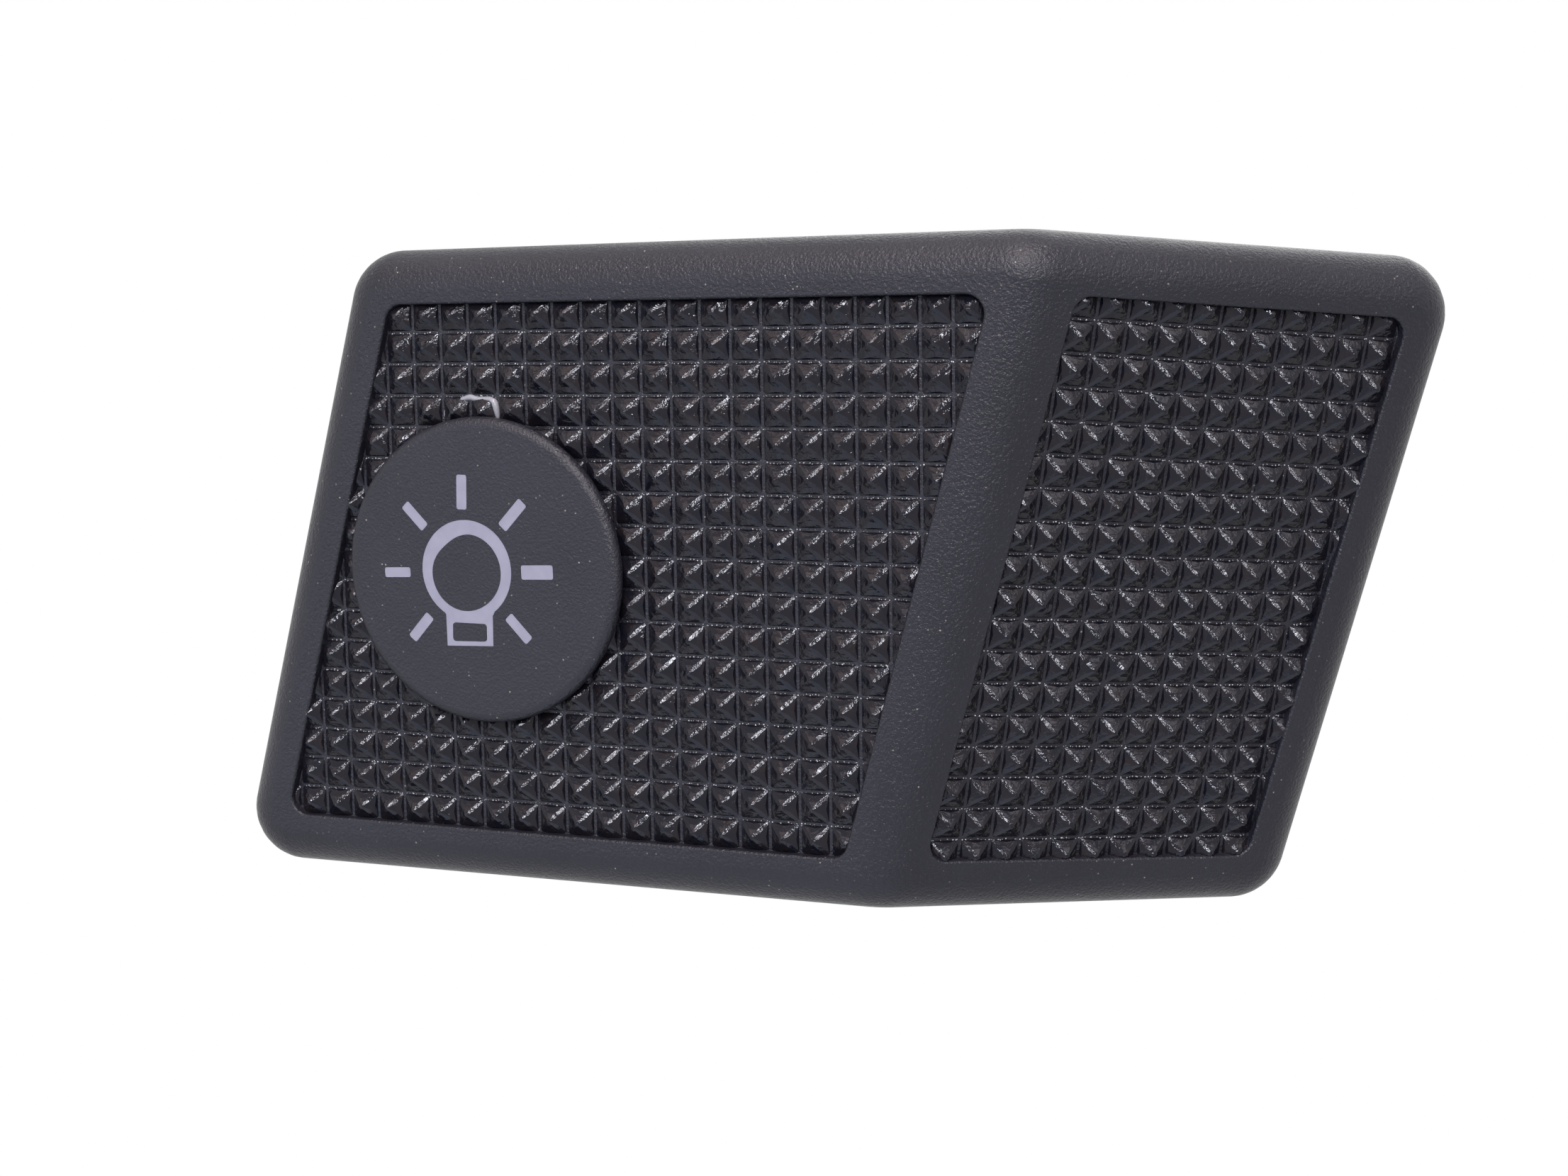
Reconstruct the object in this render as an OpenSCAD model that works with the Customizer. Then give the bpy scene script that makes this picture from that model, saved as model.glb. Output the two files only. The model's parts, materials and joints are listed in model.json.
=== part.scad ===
// Dashboard headlight switch: a chevron-faced rocker key on a panel-mounted housing.
// Millimetres. +X is to the right as the driver sees it, +Y goes into the dashboard, +Z is up.
// The origin is the middle of the flange's back face, where the switch sits on its panel.

/* [Key] */
// Height of the key, flat top wall to flat bottom wall
key_h = 30.4; // [29.5:0.1:32]
// Length of the left face from the ridge to the left end, along the face
left_len = 34.05; // [33:0.05:35]
// Length of the right face from the ridge to the right end, along the face
right_len = 20.85; // [20:0.05:22]
// Turn of each face away from the panel, about the upright axis
face_turn = 20.3; // [18:0.1:22]
// Sideways lean of the ridge, top to the right
ridge_slant = 11.8; // [8:0.1:13]
// Backward lean of the ridge, bottom away from the driver
ridge_rake = 11.6; // [8:0.1:12.5]
// Sideways lean of the two ends and of the fields' sides
end_slant = 12.5; // [9:0.1:13.5]
// Rise of the top and bottom walls to the right
wall_rise = 0.3; // [0:0.1:0.5]
// Distance of the ridge in front of the panel, at mid height
ridge_out = 23.5; // [23:0.1:26]
// Offset of the ridge to the right of the pivot
ridge_x = 6.2; // [5:0.1:7]
// Radius of the rounded outer edges
edge_r = 2.1; // [1.8:0.1:2.3]
// Extra radius of the four corners as seen from the front
corner_extra = 0.6; // [0.2:0.1:0.8]
// Radius of the softly rounded ridge
ridge_r = 3.6; // [3.2:0.1:4.5]
// Wall thickness of the key
key_wall = 2; // [1.9:0.1:2.2]
// Outward growth of the side walls at the rim, for the mould
key_draft = 0.35; // [0.1:0.05:0.5]

/* [Knurled fields] */
// Pitch of the square pyramids
pitch = 1.5; // [1.5:0.05:1.8]
// Width of the flat valley between pyramids
valley = 0.14; // [0.1:0.02:0.3]
// Depth of the fields below the smooth face
field_depth = 0.5; // [0.4:0.05:0.6]
// Width of the blunt tip of a pyramid
tip = 0.12; // [0.08:0.02:0.2]
// Drop of the tips below the smooth face
tip_drop = 0.03; // [0.01:0.01:0.1]
// Smooth strip from the ridge to the left field
strip_left = 1.85; // [1.7:0.05:2.5]
// Smooth strip from the ridge to the right field
strip_right = 2.2; // [1.9:0.05:2.7]
// Smooth border above the fields
border_top = 3; // [2.8:0.05:3.5]
// Smooth border below the fields
border_bottom = 2.35; // [2.2:0.05:2.7]
// Drop of the pattern's middle row below the key's middle
pattern_drop = 0.28; // [0:0.02:0.5]
// Smooth border at the left end
border_left = 2.4; // [2.2:0.1:2.8]
// Smooth border at the right end
border_right = 2.2; // [2:0.1:2.5]
// Corner radius of the fields
field_corner = 0.85; // [0.5:0.05:1]

/* [Symbol disc] */
// Radius of the disc
disc_r = 7.3; // [6.8:0.1:7.4]
// Distance of the disc's centre from the ridge, along the left face
disc_u = 23.3; // [22.8:0.1:23.3]
// Height of the disc's face above the smooth face
disc_proud = 0.6; // [0.5:0.05:0.8]
// Thickness of the disc's cover
disc_t = 0.5; // [0.4:0.05:0.5]
// Outer radius of the disc's snap skirt
skirt_r = 6.4; // [6:0.1:6.6]
// Shift of the pictogram from the disc's centre
symbol_shift = -0.7; // [-0.8:0.05:0]
// Outer radius of the bulb outline
bulb_r = 2.4; // [2.2:0.02:2.6]
// Line width of the pictogram
line_w = 0.56; // [0.45:0.02:0.65]
// Outer end of the rays, from the bulb's centre
ray_end = 4.6; // [4.4:0.05:5]
// Width of the clear tab above the disc
tab_w = 2.86; // [2:0.02:3]
// Reach of the clear tab beyond the disc's edge
tab_reach = 0.85; // [0.5:0.05:1.2]

/* [Housing] */
// Height of the housing body
body_h = 23; // [23:0.5:24]
// Wall thickness of the housing
body_wall = 1.5; // [1.4:0.1:1.6]
// Width of the front flange
flange_w = 44; // [43.5:0.5:45]
// Height of the front flange
flange_h = 27; // [26.5:0.5:28]
// Thickness of the front flange
flange_t = 1.6; // [1.2:0.1:1.8]

/* [Rocker] */
// Rocking angle to each side
rock = 7; // [5:0.5:7]
// Depth of the pivot behind the panel's front face
pivot_y = 4; // [3.8:0.1:4.2]
// Diameter of the pivot pin
pin_d = 3; // [2.6:0.1:3.2]
// Radial clearance of the hub on its pin
pin_fit = 0.05; // [0.02:0.01:0.08]
// Length of the driving arm, pivot to nose
arm_len = 14; // [13.8:0.1:14.2]
// Diameter of the detent plungers
plunger_d = 3; // [2.6:0.1:3]
// Height of the two detent plungers above and below the middle
plunger_z = 6.5; // [6.4:0.1:6.8]

/* [Contacts] */
// Width of the main blade terminals
blade_w = 6.3; // [6:0.1:6.3]
// Width of the lamp's blade terminals
small_blade_w = 2.8; // [2.8:0.1:3.2]
// Thickness of the blade terminals
blade_t = 0.8; // [0.6:0.1:0.8]
// Free length of the main blades behind the housing
blade_len = 9; // [8:0.5:11]
// Half distance between the two contact bumps of a bridge
bump_x = 4; // [3.9:0.1:4.1]
// Height of the contact bridges above and below the middle
bridge_z = 6.2; // [6:0.1:6.3]

/* [Lighting] */
// Distance of the lamp to the left of the pivot
lamp_x = 13.2; // [13:0.1:13.4]
// Radius of the lamp's glass
lamp_r = 2.5; // [2.3:0.1:2.6]
// Radius of the clear light guide
guide_r = 2.4; // [2:0.1:2.5]

/* [Hidden] */
$fn = 48;

black = [0.1, 0.1, 0.11];
dark_grey = [0.2, 0.2, 0.21];
steel = [0.7, 0.71, 0.72];
brass_colour = [0.8, 0.65, 0.3];
clear = [0.85, 0.9, 0.92, 0.5];
symbol_grey = [0.62, 0.63, 0.72];

slide_fit = 0.05;
seat_fit = 0.05;
weld = 0.2;
through = 1;

// Key faces: unit vectors along each face, up each face and out of each face
function unit(v) = v / norm(v);
ridge_up = unit([tan(ridge_slant), -tan(ridge_rake), 1]);
function along(side) = [cos(face_turn), side * sin(face_turn), 0];
function up_face(side) = unit(ridge_up - (ridge_up * along(side)) * along(side));
function out_of(side) = cross(along(side), up_face(side));
function lean(side) = (ridge_up * along(side)) / (ridge_up * up_face(side));
ridge_mid = [ridge_x, -ridge_out, 0];
LEFT = -1;
RIGHT = 1;

// A plane is a unit normal that points out of the key, and its distance from the origin
function plane(normal, point) = [normal, normal * point];
function inset(p, depth) = [p[0], p[1] - depth];
function meet(a, b, c) =
    (a[1] * cross(b[0], c[0]) + b[1] * cross(c[0], a[0]) + c[1] * cross(a[0], b[0]))
    / (a[0] * cross(b[0], c[0]));
end_normal = [cos(end_slant), 0, -sin(end_slant)];
function face_of(side) = plane(out_of(side), ridge_mid);
function end_of(side) = side == LEFT
    ? plane(-end_normal, ridge_mid - left_len * along(LEFT))
    : plane(end_normal, ridge_mid + right_len * along(RIGHT));
function cap_of(cap) = plane(cap * [-sin(wall_rise), 0, cos(wall_rise)], ridge_mid + [0, 0, cap * key_h / 2]);
rim_gap = 0.6;
rim_y = -(flange_t + flange_w / 2 * sin(rock) + rim_gap);

// A point on the rounded ridge's inner arc, at step t from the left face (-1) to the right face (1)
ridge_front = unit(out_of(LEFT) + out_of(RIGHT));
ridge_side = unit(out_of(RIGHT) - out_of(LEFT));
ridge_half = acos(out_of(LEFT) * out_of(RIGHT)) / 2;
function ridge_point(t, cap, depth, r, rr) =
    let (axis_at = meet(inset(face_of(LEFT), depth + rr), inset(face_of(RIGHT), depth + rr),
            inset(cap_of(cap), depth + r)),
        around = cos(t * ridge_half) * ridge_front + sin(t * ridge_half) * ridge_side,
        p = axis_at + (rr - r) * around,
        up_wall = cap_of(cap)[0])
    p + ridge_up * ((axis_at - p) * up_wall / (ridge_up * up_wall));

// A point of the arc that rounds a corner in the front view, at step t from the end wall (0) to the cap (1)
function corner_out(side, cap, t) = corner_extra * unit((1 - t) * end_of(side)[0] + t * cap_of(cap)[0]);
function corner_point(side, cap, depth, r, t) =
    let (out = corner_out(side, cap, t), face = face_of(side)[0])
    meet(inset(face_of(side), depth + r), inset(end_of(side), depth + r + corner_extra),
        inset(cap_of(cap), depth + r + corner_extra)) + out - [0, out * face / face[1], 0];
function rim_point(side, cap, depth, r, t, y) =
    meet([[0, 1, 0], y], inset(end_of(side), depth + r + corner_extra),
        inset(cap_of(cap), depth + r + corner_extra)) + corner_out(side, cap, t);

module on_face(side)
    multmatrix([for (i = [0:2]) [along(side)[i], up_face(side)[i], out_of(side)[i], ridge_mid[i]]])
        children();

module along_x(x0, x1) translate([x0, 0, 0]) rotate([90, 0, 90]) linear_extrude(x1 - x0) children();
module along_y(y0, y1) translate([0, y1, 0]) rotate([90, 0, 0]) linear_extrude(y1 - y0) children();
module along_z(z0, z1) translate([0, 0, z0]) linear_extrude(z1 - z0) children();

module rounded(w, h, r) {
    square([w - 2 * r, h], center = true);
    square([w, h - 2 * r], center = true);
    for (x = [-1, 1], y = [-1, 1])
        translate([x * (w / 2 - r), y * (h / 2 - r)]) circle(r);
}

// The key's convex outer form, or its cavity when it is set in by the wall
outer_steps = 28;
cavity_steps = 16;
module key_form(depth, r, rr, draft, back, steps) {
    hull() {
        for (side = [LEFT, RIGHT], cap = [-1, 1], t = [0:0.5:1]) {
            translate(corner_point(side, cap, depth, r, t)) sphere(r, $fn = steps);
            translate(rim_point(side, cap, depth - draft, r, t, back))
                rotate([90, 0, 0]) cylinder(r = r, h = 0.01, $fn = steps);
        }
        for (cap = [-1, 1], t = [-1:0.5:1])
            translate(ridge_point(t, cap, depth, r, rr)) sphere(r, $fn = steps);
    }
}

// Field outline on a face: a leaning parallelogram with rounded corners
function field_top(side) = (key_h / 2 - border_top) / up_face(side)[2];
function field_bottom(side) = -(key_h / 2 - border_bottom) / up_face(side)[2];
function end_lean(side) = -(end_normal * up_face(side)) / (end_normal * along(side));
module field_outline(side) {
    near = side == LEFT ? -strip_left : strip_right;
    far = side == LEFT ? -(left_len - border_left) : right_len - border_right;
    low = field_bottom(side);
    high = field_top(side);
    offset(r = field_corner, $fn = 32) offset(delta = -field_corner)
        polygon([for (p = [[near, low], [far, low], [far, high], [near, high]])
            [p[0] + p[1] * end_lean(side), p[1]]]);
}

// The ridge's point at the height of the pattern's middle row, and a crossing of the grid's valleys
function pattern_mid(side) = -pattern_drop / up_face(side)[2] * [lean(side), 1];
function grid_start(side) = pattern_mid(side) + pitch * (side == LEFT ? [-0.08, 0.5] : [0.45, -0.07]);

sunk = 0.05;

module pyramid() {
    base = pitch - valley;
    hull() {
        translate([-base / 2, -base / 2, -field_depth - weld]) cube([base, base, weld]);
        translate([-tip / 2, -tip / 2, -tip_drop - tip]) cube([tip, tip, tip]);
    }
}

module knurl(side) {
    start = grid_start(side);
    far = side == LEFT ? -left_len : right_len;
    first = min(0, far);
    last = max(0, far);
    intersection() {
        for (row = [floor(field_bottom(side) / pitch) - 1 : ceil(field_top(side) / pitch)]) {
            v = start[1] + (row + 0.5) * pitch;
            shift = v * lean(side);
            for (col = [floor((first + shift) / pitch) : ceil((last + shift) / pitch)])
                translate([start[0] + (col + 0.5) * pitch, v, 0]) pyramid();
        }
        translate([0, 0, -field_depth - weld / 2]) linear_extrude(field_depth + weld)
            offset(delta = sunk) field_outline(side);
    }
}

// Fastening of the key on the carrier: four posts with staked pegs
post_r = 2.2;
peg_r = 1.1;
head_r = 1.8;
head_t = 0.7;
saddle_front = -9;
saddle_t = 2;
post_x = [-5.5, 13];
post_z = 6.8;

// Hole for the disc's snap skirt through the left face
disc_at = [pattern_mid(LEFT)[0] - disc_u, pattern_mid(LEFT)[1], 0];
key_hole_r = skirt_r + slide_fit;
disc_land_r = skirt_r + 0.3;

module key_cap() color(black) {
    difference() {
        union() {
            difference() {
                key_form(0, edge_r, ridge_r, key_draft, rim_y, outer_steps);
                for (side = [LEFT, RIGHT])
                    on_face(side) translate([0, 0, -field_depth]) linear_extrude(key_h) field_outline(side);
            }
            for (side = [LEFT, RIGHT]) on_face(side) knurl(side);
        }
        key_form(key_wall, edge_r - 1, ridge_r - key_wall, key_draft, rim_y + through, cavity_steps);
        on_face(LEFT) translate(disc_at) {
            translate([0, 0, -key_wall - field_depth]) cylinder(r = key_hole_r, h = key_h);
            translate([0, 0, -field_depth]) cylinder(r = disc_land_r, h = key_h);
        }
    }
    for (x = post_x, z = [-post_z, post_z]) {
        intersection() {
            translate([x, 0, z]) along_y(-key_h, saddle_front) circle(post_r, $fn = 24);
            key_form(key_wall / 2, edge_r, ridge_r, key_draft, rim_y, cavity_steps);
        }
        translate([x, 0, z]) {
            along_y(saddle_front - through, saddle_front + saddle_t) circle(peg_r, $fn = 24);
            along_y(saddle_front + saddle_t, saddle_front + saddle_t + head_t) circle(head_r, $fn = 24);
        }
    }
}

// Bulb pictogram: ring, base loop and seven rays, centred on the bulb
base_w = 2.5;
base_top = 2.1;
base_bottom = 3.65;
base_line = 0.35;
ray_start = 2.95;
ray_w = 0.54;

module pictogram() {
    difference() {
        union() {
            circle(bulb_r);
            translate([-base_w / 2, -base_bottom]) square([base_w, base_bottom - base_top + base_line]);
        }
        circle(bulb_r - line_w);
        translate([-base_w / 2 + base_line, -base_bottom + base_line])
            square([base_w - 2 * base_line, base_bottom - bulb_r - base_line - 0.1]);
    }
    for (a = [-45:45:225])
        rotate(a) translate([ray_start, -ray_w / 2]) square([ray_end - ray_start, ray_w]);
}

// The disc is a cap: cover, snap skirt through the key's wall and a bead behind it
disc_face = disc_proud;
cover_back = disc_face - disc_t;
skirt_t = 0.9;
bead = 0.25;
skirt_end = -key_wall - 0.9;
disc_edge_r = 0.3;
tab_t = 0.12;
tab_at = -0.77;

module disc_profile() {
    outer = disc_r - disc_edge_r;
    translate([0, cover_back]) square([outer, disc_t]);
    translate([0, cover_back]) square([disc_r, disc_t - disc_edge_r]);
    translate([outer, disc_face - disc_edge_r]) circle(disc_edge_r, $fn = 32);
}

module tab_blank(grow) {
    translate([tab_at - tab_w / 2 - grow, 0, cover_back - tab_t - grow])
        cube([tab_w + 2 * grow, disc_r + tab_reach + grow, tab_t + 2 * grow]);
}

module symbol_disc() color(black) on_face(LEFT) translate(disc_at)
    difference() {
        union() {
            rotate_extrude() disc_profile();
            translate([0, 0, skirt_end]) cylinder(r = skirt_r, h = cover_back - skirt_end + weld / 2);
            translate([0, 0, skirt_end]) rotate_extrude()
                polygon([[0, 0], [skirt_r, 0], [skirt_r + bead, 0.4], [skirt_r, 0.8], [0, 0.8]]);
        }
        translate([0, 0, skirt_end - through])
            cylinder(r = skirt_r - skirt_t, h = cover_back - skirt_end + through);
        translate([symbol_shift, 0, cover_back - through]) linear_extrude(disc_t + 2 * through) pictogram();
        tab_blank(0.02);
    }

module symbol_lens() color(symbol_grey) on_face(LEFT) translate(disc_at) {
    translate([0, 0, skirt_end + 1])
        cylinder(r = skirt_r - skirt_t - slide_fit, h = cover_back - skirt_end - 1);
    translate([symbol_shift, 0, cover_back]) linear_extrude(disc_t) pictogram();
    tab_blank(0);
}

// Carrier: saddle under the key, hub, arm with round nose and two plunger sleeves
hub_r = 3.6;
hub_h = body_h - 2 * body_wall - 0.6;
sleeve_r = 2.5;
sleeve_len = 10;
sleeve_end = pivot_y + sleeve_len;
sleeve_floor = pivot_y + 2.3;
arm_t = 2.4;
arm_h = 5;
nose_r = 1.6;
nose_y = pivot_y + arm_len;
saddle_x = [-8.5, 16];
saddle_h = 19;
web_t = 2.2;
web_z = 3.2;

module rocker_carrier() color(dark_grey) {
    difference() {
        union() {
            along_y(saddle_front, saddle_front + saddle_t)
                translate([(saddle_x[0] + saddle_x[1]) / 2, 0])
                    rounded(saddle_x[1] - saddle_x[0], saddle_h, 1.5);
            translate([0, pivot_y, -hub_h / 2]) cylinder(r = hub_r, h = hub_h);
            for (z = [-web_z, web_z])
                along_z(z - web_t / 2, z + web_t / 2)
                    polygon([[saddle_x[0] + 1, saddle_front + 1], [saddle_x[1] - 1, saddle_front + 1],
                        [hub_r - 0.2, pivot_y + 0.5], [-hub_r + 0.2, pivot_y + 0.5]]);
            for (z = [-plunger_z, plunger_z])
                translate([0, 0, z]) along_y(pivot_y, sleeve_end) circle(sleeve_r);
            along_z(-arm_h / 2, arm_h / 2) translate([-arm_t / 2, pivot_y]) square([arm_t, arm_len]);
            translate([0, nose_y, -arm_h / 2]) cylinder(r = nose_r, h = arm_h);
        }
        translate([0, pivot_y, -hub_h]) cylinder(r = pin_d / 2 + pin_fit, h = 2 * hub_h);
        for (z = [-plunger_z, plunger_z])
            translate([0, 0, z]) along_y(sleeve_floor, sleeve_end + through)
                circle(plunger_d / 2 + slide_fit);
        for (x = post_x, z = [-post_z, post_z])
            translate([x, 0, z]) along_y(saddle_front - through, saddle_front + saddle_t + through)
                circle(peg_r + seat_fit);
    }
}

module pivot_pin() color(steel)
    translate([0, pivot_y, -body_h / 2]) cylinder(r = pin_d / 2, h = body_h);

// Detent plunger: shank, rounded nose and a thin stem inside its spring
nose_gap = 0.1;
spring_room = 4;
shank_y = sleeve_floor + spring_room;
plunger_nose_r = plunger_d / 2 - 0.1;
plunger_reach = 2.5;
plunger_tip = sleeve_end + plunger_reach;
stem_r = 0.6;
stem_len = 2;

module detent_plunger(z) color(steel)
    translate([0, shank_y, z]) rotate([-90, 0, 0]) {
        cylinder(r = plunger_d / 2, h = plunger_tip - plunger_nose_r - shank_y);
        translate([0, 0, plunger_tip - plunger_nose_r - shank_y]) sphere(plunger_nose_r);
        translate([0, 0, -stem_len]) cylinder(r = stem_r, h = stem_len);
    }
module detent_plunger_upper() detent_plunger(plunger_z);
module detent_plunger_lower() detent_plunger(-plunger_z);

// Coil spring as one swept tube with closed ends
spring_wire = 0.28;
spring_r = 1.1;
spring_turns = 5;
spring_steps = 14;
spring_sides = 6;

module detent_spring(z) color(steel) {
    y0 = sleeve_floor + spring_wire;
    y1 = shank_y - spring_wire;
    count = spring_turns * spring_steps;
    points = [for (i = [0:count], j = [0:spring_sides - 1])
        let (turn = 360 * i / spring_steps, side = 360 * j / spring_sides,
            reach = spring_r + spring_wire * cos(side))
        [reach * cos(turn), y0 + (y1 - y0) * i / count + spring_wire * sin(side), z + reach * sin(turn)]];
    walls = [for (i = [0:count - 1], j = [0:spring_sides - 1])
        let (a = i * spring_sides + j, b = i * spring_sides + (j + 1) % spring_sides)
        [a, b, b + spring_sides, a + spring_sides]];
    ends = [[for (j = [spring_sides - 1:-1:0]) j], [for (j = [0:spring_sides - 1]) count * spring_sides + j]];
    polyhedron(points, concat(walls, ends));
}
module detent_spring_upper() detent_spring(plunger_z);
module detent_spring_lower() detent_spring(-plunger_z);

// Housing: its width follows from the lamp, its length from the chain of cams, slider and contacts
holder_r = 3.7;
holder_room = 0.6;
body_w = 2 * (lamp_x + holder_r + holder_room + body_wall);
inner_w = body_w - 2 * body_wall;
inner_h = body_h - 2 * body_wall;
cam_r = plunger_tip - pivot_y + nose_gap;
cam_w = 13;
cam_t = 3.7;
cam_back = plunger_tip + cam_t;
cam_gap = 4.2;
notch_r = 1.7;
notch_depth = 0.4;
carriage_gap = 0.4;
carriage_t = 2;
carriage = [cam_back + carriage_gap, cam_back + carriage_gap + carriage_t];
contact_room = 1.9;
foot_y = carriage[1] + contact_room;
base_front = foot_y + blade_t;
base_t = 3;
body_len = base_front + base_t;
guide_collar = [3, 7];
clip_foot = [8, 18.5];
clip_h = 7;
clip_t = 0.5;
clip_pocket = 0.6;
stake_r = 0.8;
stake_y = [11, 16];
lug_w = 6;
lug = 0.9;
lug_span = [base_front + 0.7, base_front + 2.2];
stop_w = 1.4;

module cam() {
    along_z(cam_gap, inner_h / 2 + weld) difference() {
        translate([-cam_w / 2, cam_r + pivot_y - 1.2]) square([cam_w, cam_back - cam_r - pivot_y + 1.2]);
        translate([0, pivot_y]) {
            circle(cam_r, $fn = 96);
            for (a = [-rock, 0, rock])
                rotate(a) translate([0, cam_r - notch_r + notch_depth]) circle(notch_r);
        }
    }
}

module housing() color(black) {
    difference() {
        union() {
            along_y(-flange_t, 0) rounded(flange_w, flange_h, 2.5);
            along_y(-flange_t / 2, body_len) rounded(body_w, body_h, 1);
        }
        difference() {
            along_y(-flange_t - through, body_len + through) rounded(inner_w, inner_h, 0.5);
            for (side = [-1, 1]) mirror([0, 0, side < 0 ? 1 : 0]) {
                cam();
                for (x = [-1, 1])
                    along_y(base_front - 4, base_front)
                        translate([x * (inner_w / 2 - stop_w / 2), inner_h / 2 - stop_w / 2])
                            square(stop_w + 2 * weld, center = true);
            }
            translate([-lamp_x, 0, 0]) along_y(guide_collar[0], guide_collar[1]) circle(guide_r + 1.2);
            along_y(guide_collar[0], guide_collar[1]) translate([-inner_w / 2 - weld, -1])
                square([inner_w / 2 - lamp_x, 2]);
        }
        translate([0, pivot_y, -body_h]) cylinder(r = pin_d / 2, h = 2 * body_h);
        translate([-lamp_x, 0, 0]) along_y(guide_collar[0] - through, guide_collar[1] + through)
            circle(guide_r + slide_fit);
        for (side = [-1, 1]) {
            along_y(2, clip_foot[1] + 0.2) translate([side * body_w / 2, 0])
                square([2 * clip_pocket, clip_h + 0.4], center = true);
            translate([0, 0, side * (body_h / 2 - body_wall / 2)])
                along_y(lug_span[0] - 0.2, lug_span[1] + 0.2)
                    square([lug_w + 0.4, body_wall + 2 * weld], center = true);
        }
    }
    for (side = [-1, 1], y = stake_y)
        translate([side * (body_w / 2 - clip_pocket), y, 0]) rotate([0, 90 * side, 0])
            cylinder(r = stake_r, h = clip_pocket - 0.05);
}

// Contact slider: fork for the arm's nose and the carriage of the two bridges
fork_half = nose_r + 0.15;
fork_t = 2;
fork_h = 6.8;
fork_grip = 2.2;
carriage_w = 16;
carriage_h = inner_h - 0.6;
strip_t = 0.4;
strip_hole = 0.85;
stud_head = 1.3;
bump_r = 0.5;
bump_gap = 0.1;
bridge_w = 3;

module contact_slider() color([0.75, 0.72, 0.65]) {
    for (side = [-1, 1])
        along_z(-fork_h / 2, fork_h / 2)
            translate([side * (fork_half + fork_t / 2), (nose_y - fork_grip + carriage[0] + weld) / 2])
                square([fork_t, carriage[0] - nose_y + fork_grip + weld], center = true);
    along_y(carriage[0], carriage[1]) rounded(carriage_w, carriage_h, 0.6);
    for (z = [-bridge_z, bridge_z]) translate([0, 0, z]) {
        along_y(carriage[1] - weld, carriage[1] + strip_t) circle(strip_hole - slide_fit);
        along_y(carriage[1] + strip_t, carriage[1] + strip_t + 0.5) circle(stud_head);
    }
}

// Contact bridge: a leaf spring with two contact bumps, riveted on by the slider's stud
module contact_bridge(z) color(brass_colour) {
    y0 = carriage[1];
    bump_y = foot_y - bump_gap - bump_r;
    difference() {
        along_z(z - bridge_w / 2, z + bridge_w / 2) {
            polygon([[-bump_x, bump_y - 0.3], [-2.2, y0], [2.2, y0], [bump_x, bump_y - 0.3],
                [bump_x, bump_y + 0.1], [2.1, y0 + strip_t], [-2.1, y0 + strip_t], [-bump_x, bump_y + 0.1]]);
            for (side = [-1, 1]) translate([side * bump_x, bump_y]) circle(bump_r, $fn = 32);
        }
        translate([0, 0, z]) along_y(y0 - through, y0 + strip_t + through) circle(strip_hole);
    }
}
module side_light_bridge() contact_bridge(bridge_z);
module head_light_bridge() contact_bridge(-bridge_z);

// Blade outline in the plane of its width: straight sides, pointed end and a latch hole
blade_end = body_len + blade_len;
small_blade_len = 7;
small_blade_end = body_len + small_blade_len;
module blade_shape(w, end) {
    difference() {
        polygon([[base_front - blade_t, -w / 2], [end - 1.2, -w / 2], [end, -w / 2 + 0.9], [end, w / 2 - 0.9],
            [end - 1.2, w / 2], [base_front - blade_t, w / 2]]);
        translate([end - 3.4, 0]) circle(w * 0.14, $fn = 32);
    }
}
travel = arm_len * rock * PI / 180;
supply_x = -bump_x;
load_x = bump_x + 3.4;
load_z = bridge_z;

module foot(x0, x1, z0, z1) along_y(foot_y, base_front)
    translate([x0, z0]) square([x1 - x0, z1 - z0]);

module terminal_supply() color(brass_colour) {
    foot(supply_x - travel - 1.6, supply_x + travel + 0.5, -bridge_z - 1.5, bridge_z + 1.5);
    along_x(supply_x - blade_t / 2, supply_x + blade_t / 2) blade_shape(blade_w, blade_end);
}
module load_terminal(z, first) color(brass_colour) {
    foot(first, load_x + blade_t / 2, z - 2, z + 2);
    translate([0, 0, z]) along_x(load_x - blade_t / 2, load_x + blade_t / 2) blade_shape(blade_w, blade_end);
}
module terminal_side_light() load_terminal(load_z, bump_x - 0.8);
module terminal_head_light() load_terminal(-load_z, bump_x + 0.9);

lamp_blade_z = 8.2;
module lamp_terminal(side) color(brass_colour) {
    z = side * lamp_blade_z;
    foot(-lamp_x - small_blade_w / 2, -lamp_x + small_blade_w / 2, min(side * (holder_r + 0.1), z),
        max(side * (holder_r + 0.1), z));
    translate([-lamp_x, 0, z]) rotate([0, -90, 0]) along_x(-blade_t / 2, blade_t / 2)
        blade_shape(small_blade_w, small_blade_end);
}
module terminal_lamp() lamp_terminal(1);
module terminal_ground() lamp_terminal(-1);

module terminal_base() color(black) {
    cut = 2 * slide_fit;
    difference() {
        union() {
            along_y(base_front, body_len) rounded(inner_w - 0.2, inner_h - 0.2, 0.5);
            for (side = [-1, 1])
                along_y(lug_span[0], lug_span[1]) translate([0, side * (inner_h / 2 + lug / 2 - 0.2)])
                    square([lug_w, lug + 0.2], center = true);
        }
        translate([0, 0, -blade_w / 2 - cut / 2]) along_y(base_front - through, body_len + through)
            translate([supply_x - blade_t / 2 - cut / 2, 0]) square([blade_t + cut, blade_w + cut]);
        for (side = [-1, 1]) {
            along_y(base_front - through, body_len + through) translate([load_x, side * load_z])
                square([blade_t + cut, blade_w + cut], center = true);
            along_y(base_front - through, body_len + through) translate([-lamp_x, side * lamp_blade_z])
                square([small_blade_w + cut, blade_t + cut], center = true);
        }
        translate([-lamp_x, 0, 0]) along_y(base_front - through, body_len + through)
            circle(holder_r + slide_fit);
    }
}

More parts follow.
